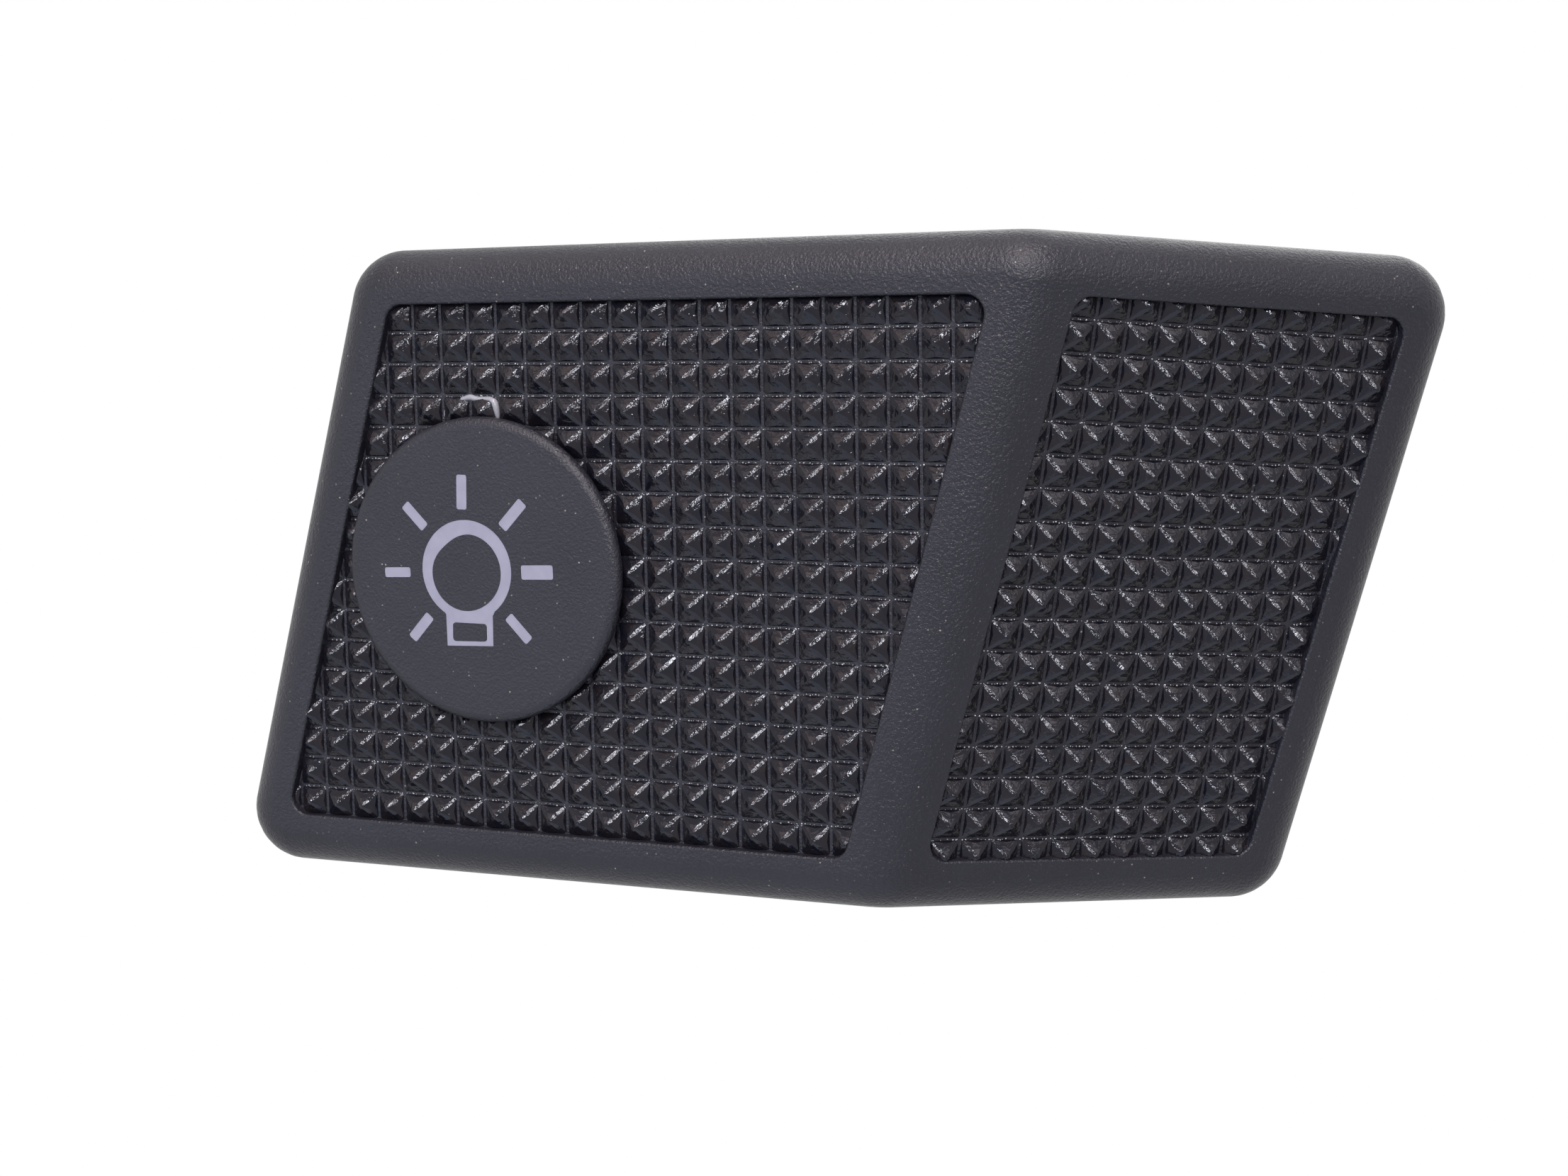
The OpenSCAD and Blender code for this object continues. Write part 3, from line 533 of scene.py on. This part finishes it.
def knurl_tree():
    """Geometry Nodes: a grid of pyramids, each a little uneven, as the worn mould leaves them."""
    tree, given = begin_tree("knurl", [
        ("Pyramid", "Object"), ("Columns", "Int"), ("Rows", "Int"), ("Pitch", "Float"),
        ("Unevenness", "Float"), ("Seed", "Int"),
    ])
    grid = add_node(tree, "GeometryNodeMeshGrid")
    for axis, count in (("X", "Columns"), ("Y", "Rows")):
        gaps = add_node(tree, "ShaderNodeMath", {0: given[count], 1: 1}, operation="SUBTRACT")
        length = add_node(
            tree, "ShaderNodeMath", {0: gaps.outputs[0], 1: given["Pitch"]}, operation="MULTIPLY")
        tree.links.new(length.outputs[0], grid.inputs[f"Size {axis}"])
        tree.links.new(given[count], grid.inputs[f"Vertices {axis}"])
    pyramid = add_node(tree, "GeometryNodeObjectInfo", {"Object": given["Pyramid"]})
    placed = add_node(tree, "GeometryNodeInstanceOnPoints", {
        "Points": grid.outputs["Mesh"], "Instance": pyramid.outputs["Geometry"]})
    real = add_node(tree, "GeometryNodeRealizeInstances", {"Geometry": placed.outputs["Instances"]})
    noise = add_node(
        tree, "ShaderNodeTexNoise", {"Scale": 2.6, "Detail": 1.5, "W": given["Seed"]}, noise_dimensions="4D")
    centred = add_node(
        tree, "ShaderNodeVectorMath", {0: noise.outputs["Color"], 1: (0.5, 0.5, 0.5)}, operation="SUBTRACT")
    place = add_node(tree, "GeometryNodeInputPosition")
    height = add_node(tree, "ShaderNodeSeparateXYZ", {0: place.outputs[0]}).outputs["Z"]
    amount = add_node(tree, "ShaderNodeMath", {0: height, 1: given["Unevenness"]}, operation="MULTIPLY")
    push = add_node(
        tree, "ShaderNodeVectorMath", {0: centred.outputs[0], "Scale": amount.outputs[0]}, operation="SCALE")
    moved = add_node(
        tree, "GeometryNodeSetPosition", {"Geometry": real.outputs["Geometry"], "Offset": push.outputs[0]})
    return end_tree(tree, given, moved.outputs["Geometry"])


def grains_tree():
    """Geometry Nodes: one row of tiny grains along each cross valley, jittered, with gaps."""
    tree, given = begin_tree("valley_grains", [
        ("Columns", "Int"), ("Rows", "Int"), ("Length", "Float"), ("Height", "Float"), ("Grain", "Float"),
        ("Kept", "Float"), ("Seed", "Int"),
    ])
    grid = add_node(tree, "GeometryNodeMeshGrid", {
        "Size X": given["Length"], "Size Y": given["Height"], "Vertices X": given["Columns"],
        "Vertices Y": given["Rows"]})
    points = add_node(tree, "GeometryNodeMeshToPoints", {"Mesh": grid.outputs["Mesh"]})
    jitter = add_node(tree, "FunctionNodeRandomValue", {
        "Min": (-0.09, -0.035, -0.01), "Max": (0.09, 0.035, 0.025), "Seed": given["Seed"]},
        data_type="FLOAT_VECTOR")
    moved = add_node(
        tree, "GeometryNodeSetPosition", {"Geometry": points.outputs[0], "Offset": jitter.outputs[0]})
    chosen = add_node(
        tree, "FunctionNodeRandomValue", {"Probability": given["Kept"], "Seed": given["Seed"]},
        data_type="BOOLEAN")
    grain = add_node(tree, "GeometryNodeMeshIcoSphere", {"Subdivisions": 1, "Radius": given["Grain"]})
    turn = add_node(tree, "FunctionNodeRandomValue", {"Max": (6.28, 6.28, 6.28)}, data_type="FLOAT_VECTOR")
    size = add_node(tree, "FunctionNodeRandomValue", {2: 0.55, 3: 1.3}, data_type="FLOAT")
    placed = add_node(tree, "GeometryNodeInstanceOnPoints", {
        "Points": moved.outputs["Geometry"], "Selection": chosen.outputs[3],
        "Instance": grain.outputs["Mesh"], "Rotation": turn.outputs[0], "Scale": size.outputs[1]})
    real = add_node(tree, "GeometryNodeRealizeInstances", {"Geometry": placed.outputs["Instances"]})
    return end_tree(tree, given, real.outputs["Geometry"])


def grown(name, tree, inputs):
    """What the tree makes of its inputs, as a plain mesh."""
    holder = mesh_object(name, bmesh.new())
    mod = holder.modifiers.new(name, "NODES")
    mod.node_group = tree
    for item in tree.interface.items_tree:
        if item.item_type == "SOCKET" and item.in_out == "INPUT" and item.name in inputs:
            mod[item.identifier] = inputs[item.name]
    bpy.context.view_layer.update()
    mesh = bpy.data.meshes.new_from_object(holder.evaluated_get(bpy.context.evaluated_depsgraph_get()))
    bpy.data.objects.remove(holder)
    return mesh


def add_on_face(joined, bm, mesh, side):
    """Sets a field's pattern on its face of the key and adds it to the joined mesh."""
    bmesh.ops.transform(bm, matrix=face_matrix(side), verts=bm.verts)
    bm.to_mesh(mesh)
    bm.free()
    joined.from_mesh(mesh)


def extent(outline):
    """The outline's lowest and highest place along and up the face."""
    return [(min(values), max(values)) for values in zip(*outline)]


def field_start(side):
    """Where two valleys of the field's grid would cross, close to the ridge's middle."""
    return pattern_mid(side) + PITCH * (Vector((-0.08, 0.5)) if side == LEFT else Vector((0.45, -0.07)))


KNURL_UNEVEN, KNURL_SEED, KNURL_SHARP = 0.1, 3, 9


def build_key_knurl(material):
    """All pyramids of both fields as one mesh, cut off where they meet the fields' walls."""
    pyramid = pyramid_mesh()
    tree = knurl_tree()
    joined = bmesh.new()
    for side in (LEFT, RIGHT):
        start = field_start(side)
        outline = field_outline(side, FIELD_FOOT)
        first, counts = [], []
        for (low, high), origin in zip(extent(outline), start):
            first.append(math.floor((low - origin) / PITCH))
            counts.append(math.ceil((high - origin) / PITCH) - first[-1])
        mesh = grown("knurl", tree, {
            "Pyramid": pyramid, "Columns": counts[0], "Rows": counts[1], "Pitch": PITCH,
            "Unevenness": KNURL_UNEVEN, "Seed": KNURL_SEED + side, "Material": material})
        middle = [start[i] + (first[i] + counts[i] / 2) * PITCH for i in range(2)]
        bm = bmesh.new()
        bm.from_mesh(mesh)
        bmesh.ops.translate(bm, vec=(*middle, -FIELD_DEPTH), verts=bm.verts)
        for p, q in zip(outline, outline[1:] + outline[:1]):
            edge = q - p
            bmesh.ops.bisect_plane(
                bm, geom=[*bm.verts, *bm.edges, *bm.faces], plane_co=(p.x, p.y, 0),
                plane_no=Vector((edge.y, -edge.x, 0)), clear_outer=True)
        add_on_face(joined, bm, mesh, side)
    bpy.data.objects.remove(pyramid)
    return finished(mesh_object("key_knurl", joined), "key_knurl", sharp=KNURL_SHARP, weighted=False)


def inside(p, outline):
    """Whether a point lies inside a convex outline that goes round anticlockwise."""
    return all((q - a).cross(p - a) >= 0 for a, q in zip(outline, outline[1:] + outline[:1]))


GRAIN_STEP, GRAIN_R, GRAINS_KEPT, GRAIN_LINE, GRAIN_SEED = 0.15, 0.034, 0.75, -0.035, 11
GRAIN_MARGIN, GRAIN_SUNK, DISC_MARGIN = 0.1, 0.35, 0.15


def build_valley_grains(material):
    """The grains that the mould leaves along the lower edge of every cross valley. The grains are real; their
    light grey is a painted highlight, standing in for the sparkle of the dark plastic.
    """
    tree = grains_tree()
    joined = bmesh.new()
    for side in (LEFT, RIGHT):
        start = field_start(side)
        outline = field_outline(side, -GRAIN_MARGIN)
        (low_u, high_u), (low_w, high_w) = extent(outline)
        first = math.ceil((low_w - start.y) / PITCH)
        last = math.floor((high_w - start.y) / PITCH)
        mesh = grown("grains", tree, {
            "Columns": round((high_u - low_u) / GRAIN_STEP), "Rows": last - first + 1,
            "Length": high_u - low_u, "Height": (last - first) * PITCH, "Grain": GRAIN_R,
            "Kept": GRAINS_KEPT, "Seed": GRAIN_SEED + side, "Material": material})
        bm = bmesh.new()
        bm.from_mesh(mesh)
        middle_w = start.y + (first + last) / 2 * PITCH + GRAIN_LINE
        shift = ((low_u + high_u) / 2, middle_w, -FIELD_DEPTH + GRAIN_R * GRAIN_SUNK)
        bmesh.ops.translate(bm, vec=shift, verts=bm.verts)
        lost = {v for v in bm.verts if not inside(v.co.to_2d(), outline) or (
            side == LEFT and (v.co.to_2d() - disc_middle()).length < DISC_R + DISC_MARGIN)}
        for _ in range(3):  # from any of its corners, three steps reach all of a grain
            lost |= {v for near in lost for f in near.link_faces for v in f.verts}
        bmesh.ops.delete(bm, geom=list(lost), context="VERTS")
        add_on_face(joined, bm, mesh, side)
    grains = mesh_object("valley_grains", joined)
    return finished(grains, "valley_grains", sharp=180, weighted=False)


def build_detent_spring(name, z):
    """A plunger's coil spring in round wire, from the sleeve's floor to the plunger's shank."""
    low, high = SPRING_START + SPRING_WIRE, SPRING_END - SPRING_WIRE
    count = SPRING_TURNS * SPRING_STEPS
    rings = []
    for i in range(count + 1):
        turn = 2 * math.pi * i / SPRING_STEPS
        ring = []
        for k in range(WIRE_SIDES):
            a = 2 * math.pi * k / WIRE_SIDES
            reach = SPRING_R + SPRING_WIRE * math.cos(a)
            at = low + (high - low) * i / count + SPRING_WIRE * math.sin(a)
            ring.append((reach * math.cos(turn), at, z + reach * math.sin(turn)))
        rings.append(ring)
    return finished(loft(rings, name, Matrix.Identity(4)), name, sharp=60, weighted=False)


# Materials
def shader(name, colour, roughness, **sockets):
    material = bpy.data.materials.new(name)
    material.use_nodes = True
    bsdf = material.node_tree.nodes["Principled BSDF"]
    bsdf.inputs["Base Color"].default_value = (*colour, 1)
    bsdf.inputs["Roughness"].default_value = roughness
    for socket, value in sockets.items():
        bsdf.inputs[socket.replace("_", " ")].default_value = value
    return material, bsdf


def texture(material, kind, scale, **settings):
    where = add_node(material.node_tree, "ShaderNodeTexCoord")
    return add_node(material.node_tree, kind, {"Vector": where.outputs["Object"], "Scale": scale, **settings})


def ramp(material, source, stops):
    node = add_node(material.node_tree, "ShaderNodeValToRGB", {"Fac": source})
    elements = node.color_ramp.elements
    while len(elements) < len(stops):
        elements.new(0.5)
    for element, (place, colour) in zip(elements, stops):
        element.position = place
        element.color = (*colour, 1)
    return node.outputs["Color"]


def rough_ramp(material, bsdf, source, low, high, stops=(0.3, 0.7)):
    """Roughness that follows a texture."""
    rough = ramp(material, source, [(stops[0], (low,) * 3), (stops[1], (high,) * 3)])
    material.node_tree.links.new(rough, bsdf.inputs["Roughness"])


def bump(material, bsdf, height, distance, before=None):
    node = add_node(
        material.node_tree, "ShaderNodeBump", {"Distance": distance, "Strength": 1.0, "Height": height})
    if before is not None:
        material.node_tree.links.new(before.outputs["Normal"], node.inputs["Normal"])
    material.node_tree.links.new(node.outputs["Normal"], bsdf.inputs["Normal"])
    return node


DUST, BLOTCH = (0.4, 0.37, 0.33), 0.12


def moulded(name, colour, roughness, grain, grain_scale, specular=0.5, tint=(1, 1, 1)):
    """Moulded plastic: colour drift, fine spark-eroded grain and a few specks of dust."""
    material, bsdf = shader(name, colour, roughness, Specular_IOR_Level=specular, Specular_Tint=(*tint, 1))
    drift = texture(material, "ShaderNodeTexNoise", 260, Detail=3)
    shades = [tuple(c * (1 - BLOTCH) for c in colour), tuple(c * (1 + BLOTCH) for c in colour)]
    drifted = ramp(material, drift.outputs["Fac"], [(0.3, shades[0]), (0.7, shades[1])])
    specks = texture(material, "ShaderNodeTexVoronoi", 2500)
    dusty = ramp(material, specks.outputs["Distance"], [(0.0, DUST), (0.13, (0, 0, 0))])
    spread = texture(material, "ShaderNodeTexNoise", 900, Detail=2)
    patches = ramp(material, spread.outputs["Fac"], [(0.5, (0, 0, 0)), (0.64, (1, 1, 1))])
    add = add_node(material.node_tree, "ShaderNodeMix", data_type="RGBA", blend_type="ADD")
    link = material.node_tree.links.new
    link(patches, add.inputs["Factor"])
    link(drifted, add.inputs["A"])
    link(dusty, add.inputs["B"])
    link(add.outputs["Result"], bsdf.inputs["Base Color"])
    grains = texture(material, "ShaderNodeTexNoise", grain_scale, Detail=2, Roughness=0.6)
    rough_ramp(material, bsdf, grains.outputs["Fac"], roughness * 0.85, roughness * 1.15)
    bump(material, bsdf, grains.outputs["Fac"], grain)
    return material


def pyramid_plastic():
    """The pyramids are the same plastic off a polished mould: glossy, with flow marks and a fine ripple."""
    material, bsdf = shader(
        "pyramid_plastic", (0.01, 0.0095, 0.013), 0.12, Specular_IOR_Level=0.26,
        Specular_Tint=(0.9, 0.9, 1, 1))
    flow = texture(material, "ShaderNodeTexNoise", 1500, Detail=3, Roughness=0.55, Distortion=0.6)
    rough_ramp(material, bsdf, flow.outputs["Fac"], 0.07, 0.17, stops=(0.35, 0.7))
    shade = ramp(material, flow.outputs["Fac"], [(0.3, (0.004, 0.005, 0.01)), (0.75, (0.012, 0.009, 0.01))])
    material.node_tree.links.new(shade, bsdf.inputs["Base Color"])
    ripple = texture(material, "ShaderNodeTexNoise", 4500, Detail=3, Roughness=0.6, Distortion=0.4)
    waves = bump(material, bsdf, flow.outputs["Fac"], 0.00008)
    bump(material, bsdf, ripple.outputs["Fac"], 0.000018, before=waves)
    return material


def mottled(name, colour, roughness, scale, detail, stops, relief=None, **sockets):
    """A plain finish whose tone wanders between two shades, with a faint relief where one is given."""
    material, bsdf = shader(name, colour, roughness, **sockets)
    drift = texture(material, "ShaderNodeTexNoise", scale, Detail=detail)
    material.node_tree.links.new(ramp(material, drift.outputs["Fac"], stops), bsdf.inputs["Base Color"])
    if relief is not None:
        bump(material, bsdf, drift.outputs["Fac"], relief)
    return material


def metal(name, colour, roughness, streak=(900, 900, 9000)):
    """Rolled metal: fine streaks in its gloss and tone."""
    material, bsdf = shader(name, colour, roughness, Metallic=1.0)
    tree = material.node_tree
    where = add_node(tree, "ShaderNodeTexCoord")
    mapping = add_node(tree, "ShaderNodeMapping", {"Scale": streak, "Vector": where.outputs["Object"]})
    noise = add_node(
        tree, "ShaderNodeTexNoise", {"Scale": 1, "Detail": 4, "Vector": mapping.outputs["Vector"]})
    streaks = noise.outputs["Fac"]
    rough_ramp(material, bsdf, streaks, roughness * 0.7, roughness * 1.4)
    tone = ramp(material, streaks, [(0.25, tuple(c * 0.82 for c in colour)), (0.75, colour)])
    tree.links.new(tone, bsdf.inputs["Base Color"])
    bump(material, bsdf, streaks, 0.000006)
    return material


def clear_moulding(name, colour, roughness, transmission):
    """Clear plastic or glass with a faint flow in its surface."""
    material, bsdf = shader(name, colour, roughness, Transmission_Weight=transmission, IOR=1.49)
    flow = texture(material, "ShaderNodeTexNoise", 900, Detail=2)
    rough_ramp(material, bsdf, flow.outputs["Fac"], roughness * 0.7, roughness * 1.4)
    bump(material, bsdf, flow.outputs["Fac"], 0.00002)
    return material


BLACK, GLOSS_TINT = (0.0113, 0.0112, 0.017), (0.94, 0.93, 1)
key_plastic = moulded(
    "key_plastic", BLACK, 0.33, grain=0.00007, grain_scale=6800, specular=0.31, tint=GLOSS_TINT)
disc_plastic = moulded(
    "disc_plastic", BLACK, 0.38, grain=0.00006, grain_scale=7500, specular=0.34, tint=GLOSS_TINT)
housing_plastic = moulded("housing_plastic", (0.02, 0.02, 0.021), 0.45, grain=0.00002, grain_scale=4000)
carrier_plastic = moulded("carrier_plastic", (0.1, 0.1, 0.104), 0.5, grain=0.00002, grain_scale=4000)
nylon = moulded("natural_nylon", (0.6, 0.56, 0.46), 0.4, grain=0.00002, grain_scale=3000)
knurl_plastic = pyramid_plastic()
# The valley grains' light grey is a painted highlight: the sparkle that the black plastic's grains catch,
# painted into their colour.
painted_sparkle_plastic = mottled(
    "grains_painted_sparkle", (0.3, 0.3, 0.33), 0.35, 2500, 2, [(0.35, (0.12, 0.12, 0.14)), (0.65, (0.5, 0.5, 0.54))])
symbol_insert = mottled(
    "symbol_insert", (0.235, 0.235, 0.31), 0.42, 1500, 3,
    [(0.3, (0.22, 0.22, 0.295)), (0.7, (0.25, 0.25, 0.325))], relief=0.00001, Specular_IOR_Level=0.4)
# The bead's pale grey, with little light let through, is a painted highlight for the white light at the clear
# tongue's edge.
tongue_painted_highlight = clear_moulding("tongue_painted_highlight", (0.36, 0.36, 0.42), 0.35, 0.3)
bright_steel = metal("bright_steel", (0.6, 0.6, 0.6), 0.28)
stamped_brass = metal("stamped_brass", (0.78, 0.58, 0.28), 0.25)
lamp_glass = clear_moulding("lamp_glass", (0.95, 0.97, 1.0), 0.05, 0.95)
guide_plastic = clear_moulding("guide_plastic", (0.9, 0.94, 0.97), 0.15, 0.85)

FINISH = {
    "key_black": key_plastic, "disc_black": disc_plastic, "symbol_grey": symbol_insert,
    "carrier_grey": carrier_plastic, "housing_black": housing_plastic, "slider_nylon": nylon,
    "steel": bright_steel, "contact_brass": stamped_brass, "lamp_glass": lamp_glass,
    "guide_clear": guide_plastic,
}
for entry in frame["record"]["subparts"]:
    node = frame["nodes"][entry["node"]]
    node.data.materials.clear()
    node.data.materials.append(FINISH[entry["material_slot"]])


def dress(piece, material, replaced=None):
    """Gives a piece of the rocker its finish, hangs it on the rocker's body, and hides the CAD node that it
    stands for.
    """
    piece.data.materials.append(material)
    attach(piece, "rocker")
    if replaced:
        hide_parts(replaced)


dress(build_key_shell(), key_plastic, "key_cap")
dress(build_key_knurl(knurl_plastic), knurl_plastic)
dress(build_valley_grains(painted_sparkle_plastic), painted_sparkle_plastic)
dress(build_disc_cover(), disc_plastic, "symbol_disc")
dress(build_disc_insert(), symbol_insert, "symbol_lens")
dress(build_disc_tongue(), tongue_painted_highlight)

for level, z in (("upper", SPRING_Z), ("lower", -SPRING_Z)):
    spring = build_detent_spring(f"{level}_coil", z)
    dress(spring, bright_steel, f"detent_spring_{level}")
    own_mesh(spring)

bpy.context.scene.view_settings.view_transform = "Standard"

# Camera, from the photograph's own perspective
camera = bpy.data.objects.new("camera", bpy.data.cameras.new("camera"))
bpy.context.scene.collection.objects.link(camera)
bpy.context.scene.camera = camera
RIGHTWARD = Vector((0.9991, 0.0319, 0.0275)).normalized()
FORWARD = Vector((-0.0314, 0.9994, -0.0173)).normalized()
UPWARD = RIGHTWARD.cross(FORWARD).normalized()
RIGHTWARD = FORWARD.cross(UPWARD)
pose = Matrix((RIGHTWARD, UPWARD, -FORWARD)).transposed().to_4x4()
pose.translation = Vector((1.75, -119.6, 1.07)) * MM
camera.matrix_world = pose
camera.data.sensor_width = 36
camera.data.lens = 50.6
camera.data.clip_start = 0.005
camera.data.clip_end = 20


def show_white(tree, plain, white, output):
    """Shows white to the camera's rays, and to those that come by way of gloss or clear plastic."""
    rays = add_node(tree, "ShaderNodeLightPath").outputs
    seen = rays["Is Camera Ray"]
    for kind in ("Is Glossy Ray", "Is Transmission Ray"):
        seen = add_node(tree, "ShaderNodeMath", {0: seen, 1: rays[kind]}, operation="MAXIMUM").outputs[0]
    mix = add_node(tree, "ShaderNodeMixShader", {"Fac": seen, 1: plain.outputs[0], 2: white.outputs[0]})
    tree.links.new(mix.outputs[0], tree.nodes[output].inputs["Surface"])


# Floor well below the lamps, so that the object's shadow on it is soft and out of the picture
FLOOR_HALF, FLOOR_Z = 3, -0.75
floor_mesh = bmesh.new()
bmesh.ops.create_grid(floor_mesh, x_segments=1, y_segments=1, size=FLOOR_HALF)
floor = mesh_object("floor", floor_mesh)
floor.location.z = FLOOR_Z
floor_paint, floor_bsdf = shader("floor_paint", (0.8, 0.8, 0.8), 0.9)
glow = add_node(floor_paint.node_tree, "ShaderNodeEmission", {"Color": (1, 1, 1, 1)})
show_white(floor_paint.node_tree, floor_bsdf, glow, "Material Output")
floor.data.materials.append(floor_paint)

# World: a soft studio grey fills the shade
world = bpy.data.worlds.new("studio")
bpy.context.scene.world = world
world.use_nodes = True
fill = world.node_tree.nodes["Background"]
fill.inputs["Color"].default_value = (0.78, 0.8, 0.88, 1)
fill.inputs["Strength"].default_value = 0.1
white = add_node(world.node_tree, "ShaderNodeBackground", {"Color": (1, 1, 1, 1)})
show_white(world.node_tree, fill, white, "World Output")

# What the lamps point at, a little behind the ridge
LIT = Vector((0.003, -0.02, 0))


def lamp(name, bearing, height, distance, size, brightness, colour=(1, 1, 1)):
    """A soft panel lamp. The key sees it at a bearing to the right of the camera and a height, in degrees."""
    light = bpy.data.lights.new(name, "AREA")
    light.shape = "RECTANGLE"
    light.size, light.size_y = size
    light.energy = brightness * math.pi * size[0] * size[1]
    light.color = colour
    obj = bpy.data.objects.new(name, light)
    bpy.context.scene.collection.objects.link(obj)
    az, el = math.radians(bearing), math.radians(height)
    toward = Vector((math.sin(az) * math.cos(el), -math.cos(az) * math.cos(el), math.sin(el)))
    obj.location = LIT + distance * toward
    obj.rotation_mode = "QUATERNION"
    obj.rotation_quaternion = (-toward).to_track_quat("-Z", "Y")
    obj.visible_camera = False


lamp("high_window", -7, 26, 0.78, (0.15, 0.1), 66)
lamp("right_window", 9.5, 12, 0.78, (0.085, 0.105), 60)
lamp("low_panel", -20, -62, 0.6, (0.6, 0.5), 0.95, (0.66, 0.78, 1.0))
lamp("low_left_panel", -60, -8, 0.7, (0.35, 0.4), 2, (0.7, 0.8, 1.0))
lamp("overhead_panel", 0, 82, 0.7, (0.45, 0.3), 2, (1.0, 0.93, 0.87))
lamp("upper_panel", -3, 57, 0.75, (0.6, 0.22), 4, (1.0, 0.92, 0.87))
lamp("ceiling_lamp", -4, 50, 0.75, (0.2, 0.18), 23, (1.0, 0.87, 0.8))
lamp("edge_panel", -37, 15, 0.72, (0.22, 0.2), 6.2, (1.0, 0.93, 0.95))
lamp("rear_panel", 160, 35, 0.8, (0.7, 0.5), 1.2)
lamp("side_panel", 46, 32, 0.7, (0.24, 0.24), 3, (1.0, 0.95, 0.92))
lamp("left_panel", -65, 55, 0.7, (0.3, 0.3), 1.7, (1.0, 0.74, 0.62))
